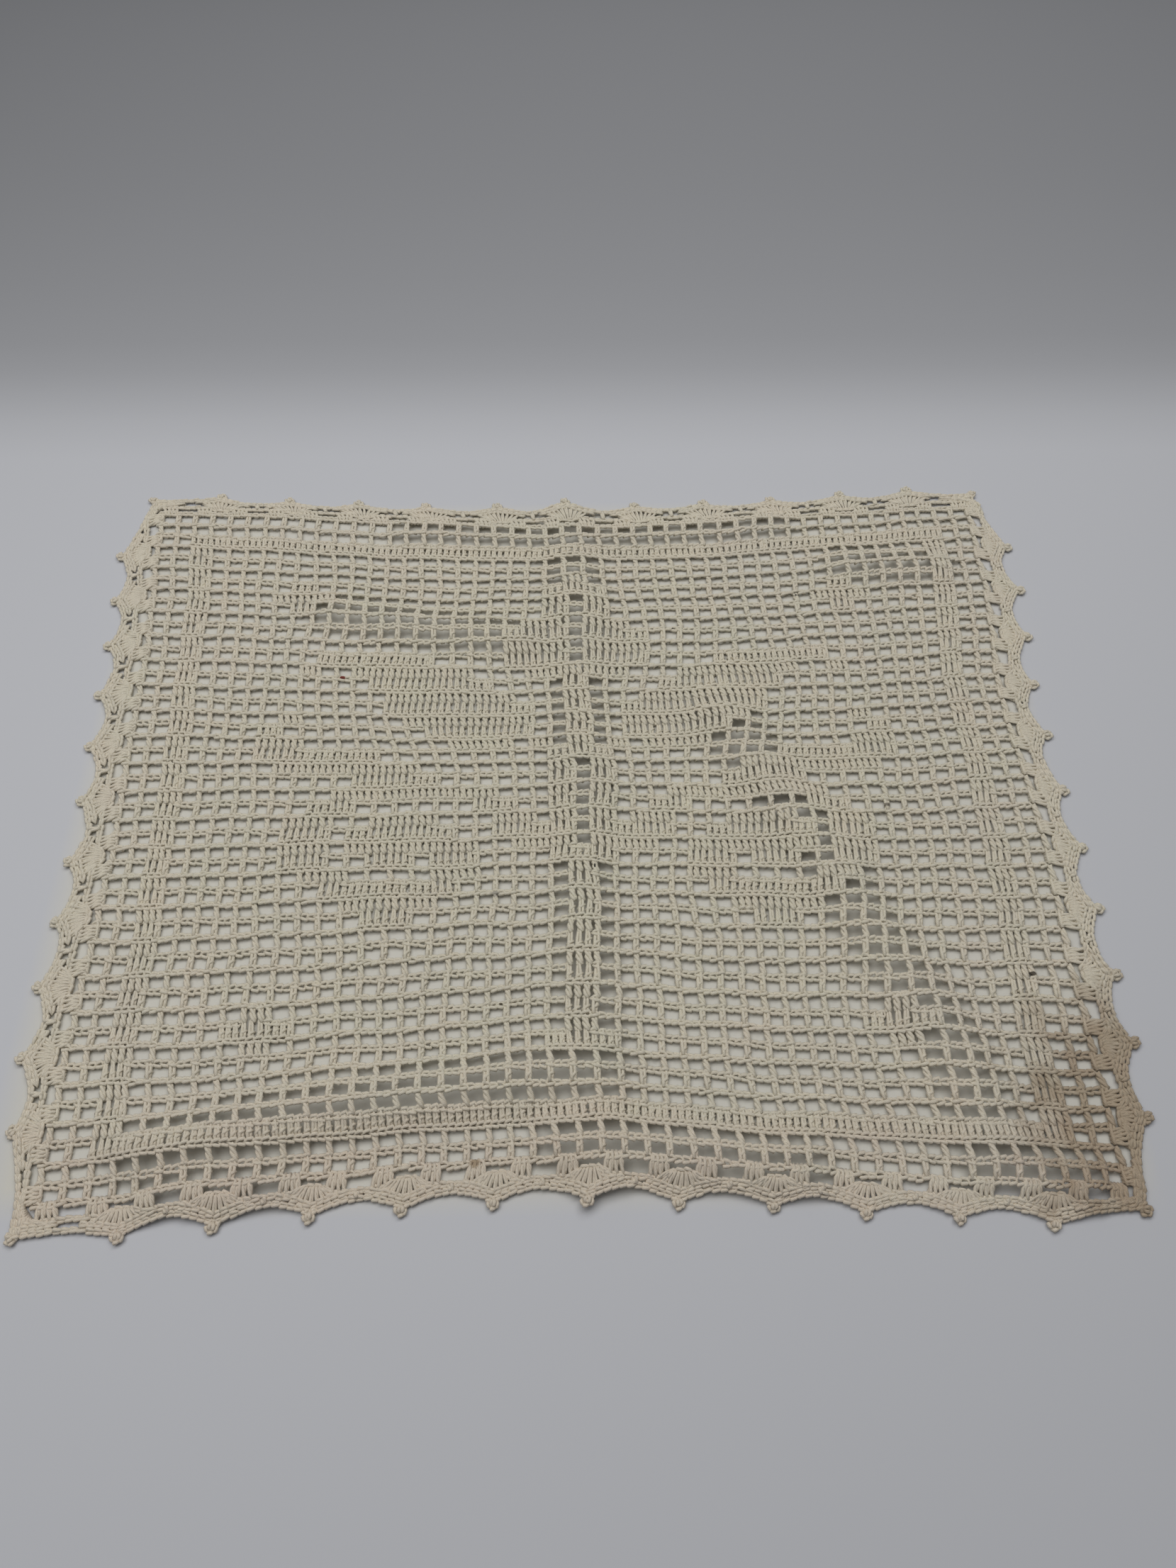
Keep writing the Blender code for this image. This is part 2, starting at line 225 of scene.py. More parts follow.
SHELL_POST = {"start": 1.2, "spread": (0.12, 0.52), "thickness": (0.5, 0.95)}
BRACE_POST = {
    "turn": -3.1,
    "start": 1.6,
    "heights": (1.9, 2.1, 1.8),
    "spread": (0.5, 0.5),
    "steps": 3,
}
# The strands lie a little closer together in height than across.
FLATNESS = 0.9
# A plain double crochet's foot lies this far to the left of its place and its top this far to the
# right, and the top a little further still.
OPEN_LEAN, OPEN_TOP_LEAN = 0.42, 0.3
FULL_LEAN, FULL_TOP_LEAN = 0.25, 0.1
# How far behind the back and the front line of their row the feet and the tops lie.
PLAIN_FOOT, PLAIN_TOP = -0.1, 0.1
REVERSE_FOOT, REVERSE_TOP = 0.6, 0.4
# The wrap round a reverse double crochet: how far aside its four points lie and how far down its
# ends go, and where along the stitch it crosses, how steeply and how high.
WRAP_ASIDE = (-1.15, -0.45, 0.45, 1.15)
WRAP_RISE = (-0.9, 0.0, 0.0, -0.9)
WRAP_PLACE, WRAP_SLOPE, WRAP_HEIGHT = 0.62, 0.75, 1.65
WRAP_THICKNESS = 0.85


def inside(value, limits):
    return limits[0] <= value <= limits[1]


def in_leaf(column, row, tip, root, half_widths, narrowing):
    """Whether a cell lies in a leaf that narrows from its middle to its tip and root."""
    along = Vector(root) - Vector(tip)
    offset = Vector((column, row)) - Vector(tip)
    share = offset.dot(along) / along.length_squared
    if not 0 <= share <= 1:
        return False
    aside = (offset.x * along.y - offset.y * along.x) / along.length
    half_width = half_widths[1] if aside > 0 else half_widths[0]
    return abs(aside) <= half_width * (4 * share * (1 - share)) ** narrowing


def oval_share(column, row, middle, radii):
    """How far out a cell lies in an oval: 1 on its rim."""
    return math.hypot((column - middle[0]) / radii[0], (row - middle[1]) / radii[1])


def in_bud(column, row):
    down = BUD_TOP - row
    if not 0 <= down < len(BUD_HALVES) or (column == 0 and inside(row, BUD_SLIT)):
        return False
    return column <= BUD_HALVES[down]


def in_stem(column, row):
    if column == 0 and (inside(row, NECK) or inside(row, STEM)):
        return True
    if column <= 1 and (row == FOOT_ROW or inside(row, THROAT)):
        return not (column == 0 and inside(row, THROAT_SLIT))
    steps = ARM_STEPS[1] + (1 if inside(row, ARM_WIDE_ROWS) else 0)
    return column > 1 and inside(row, ARM_ROWS) and inside(column - row, (ARM_STEPS[0], steps))


def in_lobe(column, row):
    reach, low, high = LOBE_MOUTH
    mouth = column < reach and inside(row, (low, high))
    ring = inside(oval_share(column, row, LOBE_MIDDLE, LOBE_RADII), (LOBE_INNER_SHARE, 1))
    if (ring and not mouth) or (column, row) in LOBE_TAIL:
        return True
    heart = oval_share(column, row, HEART_MIDDLE, HEART_RADII) <= 1
    return heart and (column, row) != HEART_EYE


def in_star(column, row):
    return any(abs(column - c) + abs(row - r) <= 1 for c, r in STARS)


def filled(column, row):
    """Whether the chart fills this cell of the net."""
    column = abs(column)
    if max(column, abs(row)) > FIELD_HALF:
        return max(column, abs(row)) == BAND_CELL
    if (column, row) in LEAF_CURLS or in_star(column, row):
        return True
    if in_bud(column, row) or in_stem(column, row) or in_lobe(column, row):
        return True
    leaf = any(in_leaf(column, row, *leaf) for leaf in LEAVES)
    return leaf and (column, row) not in LEAF_NOTCHES


def smooth(table, share):
    """The value at shares from -1 to 1 along a row of values, on a smooth curve through them."""
    table = np.asarray(table, float)
    if table.ndim == 1:
        table = np.repeat(table[:, None], len(share), axis=1)
    last = len(table) - 1
    place = (np.clip(share, -1, 1) + 1) / 2 * last
    i = np.minimum(place.astype(int), last - 1)
    t = place - i
    a, b, c, d = (
        np.take_along_axis(table, np.clip(i + step, 0, last)[None], axis=0)[0]
        for step in (-1, 0, 1, 2)
    )
    return b + 0.5 * t * (c - a + t * (2 * a - 5 * b + 4 * c - d + t * (3 * (b - c) + d - a)))


def stray(table, x, y):
    """How far places on the flat cloth stray from where an even net would have them."""
    return smooth([smooth(line, x / HALF_X) for line in table], -y / HALF_Y)


def fade(x, y):
    """What is left of a stray beyond the net, where it fades towards the picots."""
    beyond = np.maximum(np.maximum(np.abs(x) - HALF_X, np.abs(y) - HALF_Y), 0)
    return np.clip(1 - beyond / STRAY_FADE, 0, 1)


def push_table():
    """How far the flower pushes each column line of each row aside."""
    cells = np.arange(-int(FIELD_HALF), int(FIELD_HALF) + 1)
    rows = np.arange(-LAST_CELL, LAST_CELL + 1)
    full = np.array([[filled(column, row) for column in cells] for row in cells], float)
    deep = np.exp(-(((rows[:, None] - cells) / PUSH_ROWS) ** 2) / 2)
    away = np.arange(-NET_HALF, NET_HALF + 1)[None, :] - cells[:, None]
    across = np.sign(away) * np.exp(-(np.abs(away) - 0.5) / PUSH_COLUMNS)
    return PUSH * COLUMN / (PUSH_ROWS * math.sqrt(2 * math.pi)) * (deep @ full @ across)


PUSHES = push_table()


def pushed(x, y):
    """How far the flower pushes places on the flat cloth to the right."""
    column = np.clip(x / COLUMN + NET_HALF, 0, 2 * NET_HALF - 0.001)
    row = np.clip(y / ROW + LAST_CELL, 0, 2 * LAST_CELL - 0.001)
    i, j = column.astype(int), row.astype(int)
    a, b = column - i, row - j
    near = PUSHES[j, i] * (1 - a) + PUSHES[j, i + 1] * a
    far = PUSHES[j + 1, i] * (1 - a) + PUSHES[j + 1, i + 1] * a
    return near * (1 - b) + far * b


def from_line(x, y, start, end):
    """How far places lie from the stretch between two others."""
    (x0, y0), (x1, y1) = start, end
    dx, dy = x1 - x0, y1 - y0
    share = np.clip(((x - x0) * dx + (y - y0) * dy) / (dx * dx + dy * dy), 0, 1)
    return np.hypot(x - x0 - share * dx, y - y0 - share * dy)


def lift(x, y):
    """How high the underside stands over places on the flat cloth."""
    total = np.zeros_like(x)
    for height, half_width, cells in RIDGES.values():
        crest = [(column * COLUMN, row * ROW) for column, row in cells]
        away = np.min([from_line(x, y, a, b) for a, b in zip(crest, crest[1:])], axis=0)
        swell = 0.5 + 0.5 * np.cos(math.pi * np.minimum(away / half_width, 1))
        total += (height * swell) ** 2
    return np.sqrt(total)


def wander(x, y):
    """The small unevenness of hand work: how far each place strays to X and to Y."""
    across = LONG_WAVE * np.sin(x / 9.1 + 1.7 * np.sin(y / 14.3))
    across = across + SHORT_WAVE * np.sin(y / 5.3 + x / 31.0)
    deep = LONG_WAVE * np.sin(y / 11.7 + 1.4 * np.sin(x / 12.9))
    deep = deep + SHORT_WAVE * np.sin(x / 6.1 - y / 23.0)
    return across, deep


def lie(points):
    """Moves places on the flat cloth to where it lies, in metres in the doily's own frame."""
    x, y, z = points.T
    across, deep = wander(x, y)
    left = fade(x, y)
    across = across + (stray(COLUMN_STRAY, x, y) + pushed(x, y)) * left
    deep = deep + stray(ROW_STRAY, x, y) * left
    last_rows = np.clip((y / ROW - NET_HALF) / STRETCHED_ROWS + 1, 0, 1)
    deep = deep + smooth(BACK_STRETCH, x / HALF_X) * last_rows * left
    x, y = x + across, y + deep
    s, t = x / HALF_X, y / HALF_Y
    out = np.empty_like(points)
    out[:, 0] = x + (1 + s) / 2 * smooth(SIDE_BOW["right"], t)
    out[:, 0] -= (1 - s) / 2 * smooth(SIDE_BOW["left"], t)
    out[:, 1] = y + (1 + t) / 2 * smooth(SIDE_BOW["back"], s)
    out[:, 1] -= (1 - t) / 2 * smooth(SIDE_BOW["front"], s)
    out[:, 2] = z + lift(x, y)
    out[:, :2] -= BOX_MIDDLE
    return out * MM


def jitter(size):
    """A chance amount of about this size, to either side."""
    return size * float(CHANCE.standard_normal())


class Yarn:
    """The routes of the cord in one piece of the cloth."""

    def __init__(self):
        self.routes = []

    def strand(self, points, thickness=1.0, closed=False):
        points = np.array(points, float)
        points[:, 2] = np.maximum(points[:, 2], LOWEST_CORD)
        self.routes.append((points, thickness, closed))

    def post(self, foot, top, turn, start, heights, spread, strands=2, steps=4, thickness=1.0):
        """Strands twisted round each other, from foot to top."""
        foot, top = np.asarray(foot, float), np.asarray(top, float)
        along = (top - foot) / np.linalg.norm(top - foot)
        across = np.array((-along[1], along[0]))
        share = np.linspace(0, 1, steps + 1)
        height = np.interp(share, np.linspace(0, 1, len(heights)), heights)
        spread = np.interp(share, (0, 1), spread)
        thickness = np.interp(share, (0, 1), np.broadcast_to(thickness, 2))
        start += jitter(0.25)
        for angle in start + 2 * math.pi * np.arange(strands) / strands:
            angles = angle + turn * share
            flat = foot + np.outer(share, top - foot) + np.outer(spread * np.cos(angles), across)
            z = height + FLATNESS * spread * np.sin(angles)
            self.strand(np.column_stack((flat, z)), thickness)

    def wrap(self, foot, top, share, slope, height):
        """A strand that crosses a double crochet and holds its two strands together."""
        foot, top = np.asarray(foot, float), np.asarray(top, float)
        along = (top - foot) / np.linalg.norm(top - foot)
        across = np.array((-along[1], along[0]))
        middle = foot + (top - foot) * share
        aside = np.array(WRAP_ASIDE)
        flat = middle + np.outer(aside, across) - np.outer(aside * slope, along)
        self.strand(np.column_stack((flat, height + np.array(WRAP_RISE))), WRAP_THICKNESS)

    def chain(self, middle, heading, height, roll=0.0, length=CHAIN_LENGTH, width=1.0):
        """One chain stitch: a loop whose head points along the heading.

        Its two sides spread from the loop before it, and its head dips under the next one.
        """
        heading = np.asarray(heading, float) / np.linalg.norm(heading)
        across = np.array((-heading[1], heading[0]))
        along = np.array(CHAIN_ALONG) * length
        aside = np.array(CHAIN_ASIDE) * CHAIN_HALF_WIDTH * width
        rise = np.array(CHAIN_RISE)
        roll += jitter(0.18)
        aside *= 1 + jitter(0.07)
        middle = np.asarray(middle, float) + across * jitter(0.08)
        flat = middle + np.outer(along, heading)
        flat = flat + np.outer(aside * math.cos(roll) - rise * math.sin(roll), across)
        z = height + aside * math.sin(roll) + rise * math.cos(roll)
        self.strand(np.column_stack((flat, z)), np.array(CHAIN_THICKNESS), closed=True)


def shows_reverse(row):
    """Whether a row of the net turns its reverse to the top."""
    return row % 2 != 0


def work_post(yarn, x, row, full):
    """One double crochet of the net, from the row behind it to its own braid."""
    back, front = (row + 0.5) * ROW, (row - 0.5) * ROW
    x += jitter(0.1)
    if shows_reverse(row):
        foot = (x + jitter(0.12), back + REVERSE_FOOT)
        top = (x + jitter(0.15), front + REVERSE_TOP)
        yarn.post(foot, top, **REVERSE_POST, **(REVERSE_FULL if full else REVERSE_OPEN))
        share = WRAP_PLACE + jitter(0.06)
        slope = WRAP_SLOPE + jitter(0.2)
        yarn.wrap(foot, top, share, slope, WRAP_HEIGHT)
    else:
        lean = (FULL_LEAN if full else OPEN_LEAN) + jitter(0.15)
        foot = (x - lean, back + PLAIN_FOOT)
        top = (x + lean + (FULL_TOP_LEAN if full else OPEN_TOP_LEAN), front + PLAIN_TOP)
        yarn.post(foot, top, **PLAIN_POST)


def work_row(yarn, row):
    """One row of the net: its double crochets and the chain along its front edge."""
    front = (row - 0.5) * ROW
    reverse = shows_reverse(row)
    for column in range(-LAST_CELL, LAST_CELL + 1):
        full = filled(column, row)
        left = (column - 0.5) * COLUMN
        for part in range(CELL_STITCHES if full else 1):
            work_post(yarn, left + part * COLUMN / CELL_STITCHES, row, full)
        hidden = not reverse and full and row > -LAST_CELL and filled(column, row - 1)
        if hidden:
            continue
        sag = 0 if full else max(0.0, BAR_SAG + jitter(0.2))
        for part in range(CELL_STITCHES):
            dip = sag * math.sin(math.pi * part / CELL_STITCHES)
            place = (left + part * COLUMN / CELL_STITCHES, front - dip)
            low = 0 if full or part == 0 else HANGING
            if reverse and full:
                yarn.chain(place, (1, jitter(0.05)), BRAID_HEIGHT)
            elif reverse:
                height = BRAID_HEIGHT - BAR_DROP - low
                yarn.chain(place, (-1, jitter(0.08)), height, roll=BAR_ROLL)
            else:
                yarn.chain(place, (1, jitter(0.08)), BAR_HEIGHT - low)
    work_post(yarn, HALF_X, row, False)


# The net's pieces, from the back to the front, and the last row of each.
NET_PIECES = {
    "net_behind_bud": 13,
    "net_at_bud": 4,
    "net_at_leaves": -5,
    "net_at_stem": -14,
    "net_at_front": -LAST_CELL,
}


def work_net():
    """The net: the chain that it starts from, and its rows from the back to the front."""
    parts = {}
    row = LAST_CELL
    for name, last_row in NET_PIECES.items():
        yarn = Yarn()
        if row == LAST_CELL:
            for part in range(CELL_STITCHES * (2 * LAST_CELL + 1) + 1):
                yarn.chain((part * CHAIN_PITCH - HALF_X, HALF_Y), (1, 0), BAR_HEIGHT)
        while row >= last_row:
            work_row(yarn, row)
            row -= 1
        parts[name] = yarn
    return parts


# Each side of the net, clockwise: the way along it, the way out of it and its cells' pitch.
SIDES = {
    "back": ((1, 0), (0, 1), COLUMN, HALF_Y),
    "right": ((0, -1), (1, 0), ROW, HALF_X),
    "front": ((-1, 0), (0, -1), COLUMN, HALF_Y),
    "left": ((0, 1), (-1, 0), ROW, HALF_X),
}
CORNERS = {
    "back": ("back_left", (-1, 1)),
    "right": ("back_right", (1, 1)),
    "front": ("front_right", (1, -1)),
    "left": ("front_left", (-1, -1)),
}
# The fans: where their four double crochets stand, how far apart their feet and their tops are, in
# cells, and how far out of the net these lie.
FAN_PLACES = (-1.5, -0.5, 0.5, 1.5)
FAN_FOOT_PITCH, FAN_TOP_PITCH = 0.175, 0.27
FAN_FOOT, FAN_TOP = -1.2, 5.6
FAN_EVERY = 2
# The shells: how far out of the net their feet and the chain under them lie. How far apart the
# feet are and how far the tops reach along the edge are in cells on the sides and in millimetres
# at the corners. A shell's outer feet lie further out by its hollow.
SHELL_FOOT = 2.6
SHELL_BASE = 3.5
SHELL_STITCHES = 9
SHELL_FOOT_PITCH = 0.105
SHELL_REACH = 1.2
SHELL_HOLLOW = 0.5
SHELL_HEIGHTS = (0.3, 2.3, 1.8, 1.5, 1.2)
SHELL_TURN = -2.6
CORNER_STITCHES = 15
CORNER_FOOT_PITCH = 0.6
CORNER_SHELL_REACH = 15.0
CORNER_FOOT = 1.25 * SHELL_FOOT
# How the line of chains over the fans dips to the foot of a shell: cells from the shell's middle,
# and how far out of the net. It turns each corner of the net in so many points.
SHELL_DIP = ((-0.7, FAN_TOP), (-0.35, SHELL_BASE), (0.35, SHELL_BASE), (0.7, FAN_TOP))
CORNER_POINTS = 5
# How far in from the outline the edge's own chain and the chain over each shell run, and the
# share of the way to the next picot that the second one covers from each end.
EDGE_INSET = 0.1
SHELL_INSET = 2.1
SHELL_SHARE = 0.36
SPAN_POINTS = 17
# The heights of the chains over the fans and along the edge, and of those over the shells.
EDGE_HEIGHT = 1.35
SHELL_CHAIN_HEIGHT = 1.6
# A picot: five small chains on a ring, at these angles from the way out, and one on top.
PICOT_MIDDLE = 2.35
PICOT_RING = 1.25
PICOT_ANGLES = (-2.4, -1.2, 0.0, 1.2, 2.4)
PICOT_CHAIN, PICOT_TOP_CHAIN = 2.4, 2.2
PICOT_CHAIN_WIDTH = 0.7
PICOT_HEIGHT, PICOT_TOP_HEIGHT = 1.3, 2.1


def beside(side, cells, depth):
    """A place that many cells along a side of the net and that far out of it."""
    along, outward, pitch, half = (np.array(v, float) for v in SIDES[side])
    return along * cells * pitch + outward * (half + depth)


def picot_places():
    """Each picot's tip, the way that it points, its side, and the sag of the edge after it."""
    places = []
    for side, (corner, signs) in CORNERS.items():
        reach = CORNER_REACH[corner]
        tip = np.array((signs[0] * (HALF_X + reach[0]), signs[1] * (HALF_Y + reach[1])))
        places.append((tip, np.array(signs) / math.sqrt(2), None, CORNER_SAG))
        for step in range(1, SCALLOPS):
            tip = beside(side, (step - SCALLOPS / 2) * SCALLOP_CELLS, EDGING[side])
            sag = CORNER_SAG if step == SCALLOPS - 1 else SCALLOP_SAG
            places.append((tip, np.array(SIDES[side][1], float), side, sag))
    return places


def edge_spans(places, inset):
    """The line of the scalloped edge from each picot to the next, that far in from the outline."""
    spans = []
    for (tip, outward, _, sag), (next_tip, next_outward, _, _) in zip(
        places, places[1:] + places[:1]
    ):
        start = tip - outward * PICOT_LENGTH
        chord = next_tip - next_outward * PICOT_LENGTH - start
        inward = np.array((chord[1], -chord[0])) / np.linalg.norm(chord)
        share = np.linspace(0, 1, SPAN_POINTS)
        drop = sag * np.sin(math.pi * share) + inset
        spans.append(start + np.outer(share, chord) + np.outer(drop, inward))
    return spans


def along_line(line, distances):
    """Places at these distances along a line of points."""
    steps = np.linalg.norm(np.diff(line, axis=0), axis=1)
    run = np.concatenate(((0,), np.cumsum(steps)))
    return np.column_stack([np.interp(distances, run, line[:, axis]) for axis in range(2)])


def work_chain(yarn, line, height):
    """Chain stitches of the edging, along a line of points."""
    length = np.linalg.norm(np.diff(line, axis=0), axis=1).sum()
    count = round(length / CHAIN_PITCH)
    pitch = length / count
    places = along_line(line, (np.arange(count) + 0.5) * pitch)
    ahead = along_line(line, np.minimum((np.arange(count) + 1.0) * pitch, length))
    behind = along_line(line, np.arange(count) * pitch)
    stitch = CHAIN_LENGTH * pitch / CHAIN_PITCH
    for middle, way in zip(places, ahead - behind):
        high, roll = height + jitter(0.12), jitter(0.25)
        yarn.chain(middle, way, high, roll, stitch, EDGE_CHAIN_WIDTH)


def fan_top_line():
    """The line of chains that joins the tops of the fans, drawn in where a shell grows from it."""
    line = []
    for side, (_, signs) in CORNERS.items():
        corner = np.array((signs[0] * HALF_X, signs[1] * HALF_Y))
        outward = np.array(SIDES[side][1], float)
        along = np.array(SIDES[side][0], float)
        for turn in np.linspace(0, math.pi / 2, CORNER_POINTS):
            line.append(corner + FAN_TOP * (outward * math.sin(turn) - along * math.cos(turn)))
        for step in range(1, SCALLOPS):
            cells = (step - SCALLOPS / 2) * SCALLOP_CELLS
            line += [beside(side, cells + aside, depth) for aside, depth in SHELL_DIP]
    return np.array(line + line[:1])


def work_fans(yarn):
    """The fans of four double crochets on every other cell of the net's rim."""
    for side, (along, _, pitch, _) in SIDES.items():
        along = np.array(along, float)
        for cells in range(-LAST_CELL, LAST_CELL + 1, FAN_EVERY):
            for place in FAN_PLACES:
                foot = beside(side, cells, FAN_FOOT) + along * place * FAN_FOOT_PITCH * pitch
                aside = place * FAN_TOP_PITCH * pitch + jitter(0.15)
                top = beside(side, cells, FAN_TOP) + along * aside
                yarn.post(foot, top, **FAN_POST)


def work_shell(yarn, place, before, after):
    """One shell: double crochets that spread from the chain between two fans."""
    tip, outward, side, _ = place
    across = np.array((outward[1], -outward[0]))
    if side is None:
        stitches, reach, gap = CORNER_STITCHES, CORNER_SHELL_REACH, CORNER_FOOT_PITCH
        corner = np.array((HALF_X, HALF_Y)) * np.sign(outward)
        middle = corner + outward * CORNER_FOOT
    else:
        pitch = SIDES[side][2]
        stitches, reach, gap = SHELL_STITCHES, SHELL_REACH * pitch, SHELL_FOOT_PITCH * pitch
        middle = tip - outward * (EDGING[side] - SHELL_FOOT)
    half = (stitches - 1) / 2
    for step in range(stitches):
        share = (step - half) / half
        line = after if share >= 0 else before[::-1]
        top = along_line(line, [abs(share) * reach])[0]
        foot = middle + across * (step - half) * gap + outward * SHELL_HOLLOW * share * share
        first, crown, *rest = SHELL_HEIGHTS
        heights = (first, crown + jitter(0.1), *rest)
        turn = SHELL_TURN + jitter(0.3)
        yarn.post(foot, top, turn=turn, heights=heights, **SHELL_POST)


def work_picot(yarn, tip, outward):
    """A ring of small chains drawn into a knob, and the stitch that closes it on top."""
    across = np.array((outward[1], -outward[0]))
    middle = tip - outward * PICOT_MIDDLE
    for turn in PICOT_ANGLES:
        turn += jitter(0.12)
        out = outward * math.cos(turn) + across * math.sin(turn)
        way = across * math.cos(turn) - outward * math.sin(turn)
        height = PICOT_HEIGHT + jitter(0.15)
        place = middle + out * PICOT_RING
        yarn.chain(place, way, height, length=PICOT_CHAIN, width=PICOT_CHAIN_WIDTH)
    way = outward + across * jitter(0.5)
    yarn.chain(middle, way, PICOT_TOP_HEIGHT, length=PICOT_TOP_CHAIN, width=PICOT_CHAIN_WIDTH)


def work_brace(yarn, outward, dip):
    """The stitch that joins the line over the fans to the edge where an arc dips lowest."""
    half = HALF_X if abs(outward[0]) > 0.5 else HALF_Y
    length = np.dot(dip, outward) - half - FAN_TOP
    yarn.post(dip - outward * length, dip, **BRACE_POST)


def work_edging():
    """The fans and the line over them, and for each picot its arc, shell, chains and knob."""
    yarn = Yarn()
    places = picot_places()
    spans = edge_spans(places, EDGE_INSET)
    tops = edge_spans(places, SHELL_INSET)
    last = round(SHELL_SHARE * (len(tops[0]) - 1))
    work_fans(yarn)
    work_chain(yarn, fan_top_line(), EDGE_HEIGHT)
    for i, (place, span) in enumerate(zip(places, spans)):
        next_place = places[(i + 1) % len(places)]
        work_chain(yarn, span, EDGE_HEIGHT)
        for line in (tops[i][: last + 1], tops[i][-last - 1 :]):
            work_chain(yarn, line, SHELL_CHAIN_HEIGHT)
        work_shell(yarn, place, tops[i - 1], tops[i])
        work_picot(yarn, place[0], place[1])
        if place[2] is not None and next_place[2] is not None:
            work_brace(yarn, place[1], span[len(span) // 2])
    return yarn


# The plies of each strand start at a chance place within this length.
PLY_START = 20
# Points closer than this are one, in metres.
MERGE_DISTANCE = 1e-7


def make_cord_section():
    """The cord's outline, which the routes carry along."""
    ring = bpy.data.curves.new("cord_section", "CURVE")
    ring.dimensions = "3D"
    section = ring.splines.new("POLY")
    section.points.add(CORD_SIDES - 1)
    for i, point in enumerate(section.points):
        angle = 2 * math.pi * i / CORD_SIDES
        point.co = (CORD_RADIUS * MM * math.cos(angle), CORD_RADIUS * MM * math.sin(angle), 0, 1)
    section.use_cyclic_u = True
    ring_object = bpy.data.objects.new("cord_section", ring)
    bpy.context.scene.collection.objects.link(ring_object)
    return ring_object


def make_piece(name, yarn):
    """Turns the routes of a piece into cord and moves it to where it lies."""
    ring_object = make_cord_section()
    cord = bpy.data.curves.new(name, "CURVE")
    cord.dimensions = "3D"
    cord.bevel_mode = "OBJECT"
    cord.bevel_object = ring_object
    cord.use_fill_caps = True
    counts = [len(points) for points, _, _ in yarn.routes]
    laid = lie(np.concatenate([points for points, _, _ in yarn.routes]))
    runs = []
    for points, (_, thickness, closed) in zip(np.split(laid, np.cumsum(counts)[:-1]), yarn.routes):
        spline = cord.splines.new("POLY")
        spline.points.add(len(points) - 1)
        flat = np.column_stack((points, np.ones(len(points))))
        spline.points.foreach_set("co", flat.ravel())
        spline.points.foreach_set("radius", np.ones(len(points)) * thickness)
        spline.use_cyclic_u = closed
        spline.use_smooth = True
        steps = np.linalg.norm(np.diff(points, axis=0), axis=1) / MM
        run = np.concatenate(((0,), np.cumsum(steps))) + CHANCE.random() * PLY_START
        runs.append((run, closed))
    cord_object = bpy.data.objects.new(name + "_cord", cord)
    bpy.context.scene.collection.objects.link(cord_object)
    bpy.context.view_layer.update()
    mesh = bpy.data.meshes.new_from_object(
        cord_object.evaluated_get(bpy.context.evaluated_depsgraph_get())
    )
    bpy.data.objects.remove(cord_object)
    bpy.data.objects.remove(ring_object)
    mesh.name = name
    mark_plies(mesh, runs)
    work = bmesh.new()
    work.from_mesh(mesh)
    bmesh.ops.remove_doubles(work, verts=work.verts, dist=MERGE_DISTANCE)
    bmesh.ops.recalc_face_normals(work, faces=work.faces)
    work.to_mesh(mesh)
    work.free()
    piece = bpy.data.objects.new(name, mesh)
    bpy.context.scene.collection.objects.link(piece)
    return piece


def mark_plies(mesh, runs):
    """Stores where each point lies round and along its cord, for the twist of the plies.

    The mesh holds the end caps first, from the last strand to the first, and then the strands.
    """
    angle = 2 * math.pi * np.arange(CORD_SIDES) / CORD_SIDES
    ends = []
    for run, closed in reversed(runs):
        if not closed:
            ends += [run[-1], run[0]]
    run = np.concatenate((np.array(ends), np.concatenate([run for run, _ in runs])))
    ply = np.empty((len(run), CORD_SIDES, 3))
    ply[:, :, 0] = np.cos(angle)
    ply[:, :, 1] = np.sin(angle)
    ply[:, :, 2] = run[:, None]
    attribute = mesh.attributes.new("ply", "FLOAT_VECTOR", "POINT")
    attribute.data.foreach_set("vector", ply.ravel())


# The cotton, and the painted shade in the groove between two of the cord's plies, which turn once
# in this length.
THREAD = (0.78, 0.73, 0.625, 1.0)
PLY_GROOVE_SHADE = (0.575, 0.52, 0.415, 1.0)
PLIES = 3
PLY_TURN = 7.0
GROOVE_SOFTNESS = 0.6
COTTON_ROUGHNESS = 0.92
COTTON_SHEEN = 0.15
COTTON_SPECULAR = 0.2
# The cotton's uneven tints, from the broad ones to the fine ones: the noise's scale, detail and
# roughness, and what it leaves of the colour where it is low and where it is high.
TINTS = (
    ((28.0, 3.0, 0.5), (0.95, 0.955, 0.965, 1.0), (1.04, 1.03, 1.0, 1.0)),
    ((65.0, 3.0, 0.5), (1.03, 0.985, 0.975, 1.0), (0.98, 1.01, 0.99, 1.0)),
    ((850.0, 3.0, 0.65), (0.84, 0.825, 0.8, 1.0), (1.13, 1.13, 1.13, 1.0)),
)
# The relief of the plies and fibres: the fibres' noise and their share beside the plies, and how
# strong and how deep the whole is.
FIBRE_NOISE = (2600.0, 3.0, 0.6)
FIBRE_SHARE = 0.5
RELIEF_STRENGTH = 0.6
RELIEF_DEPTH = 0.09
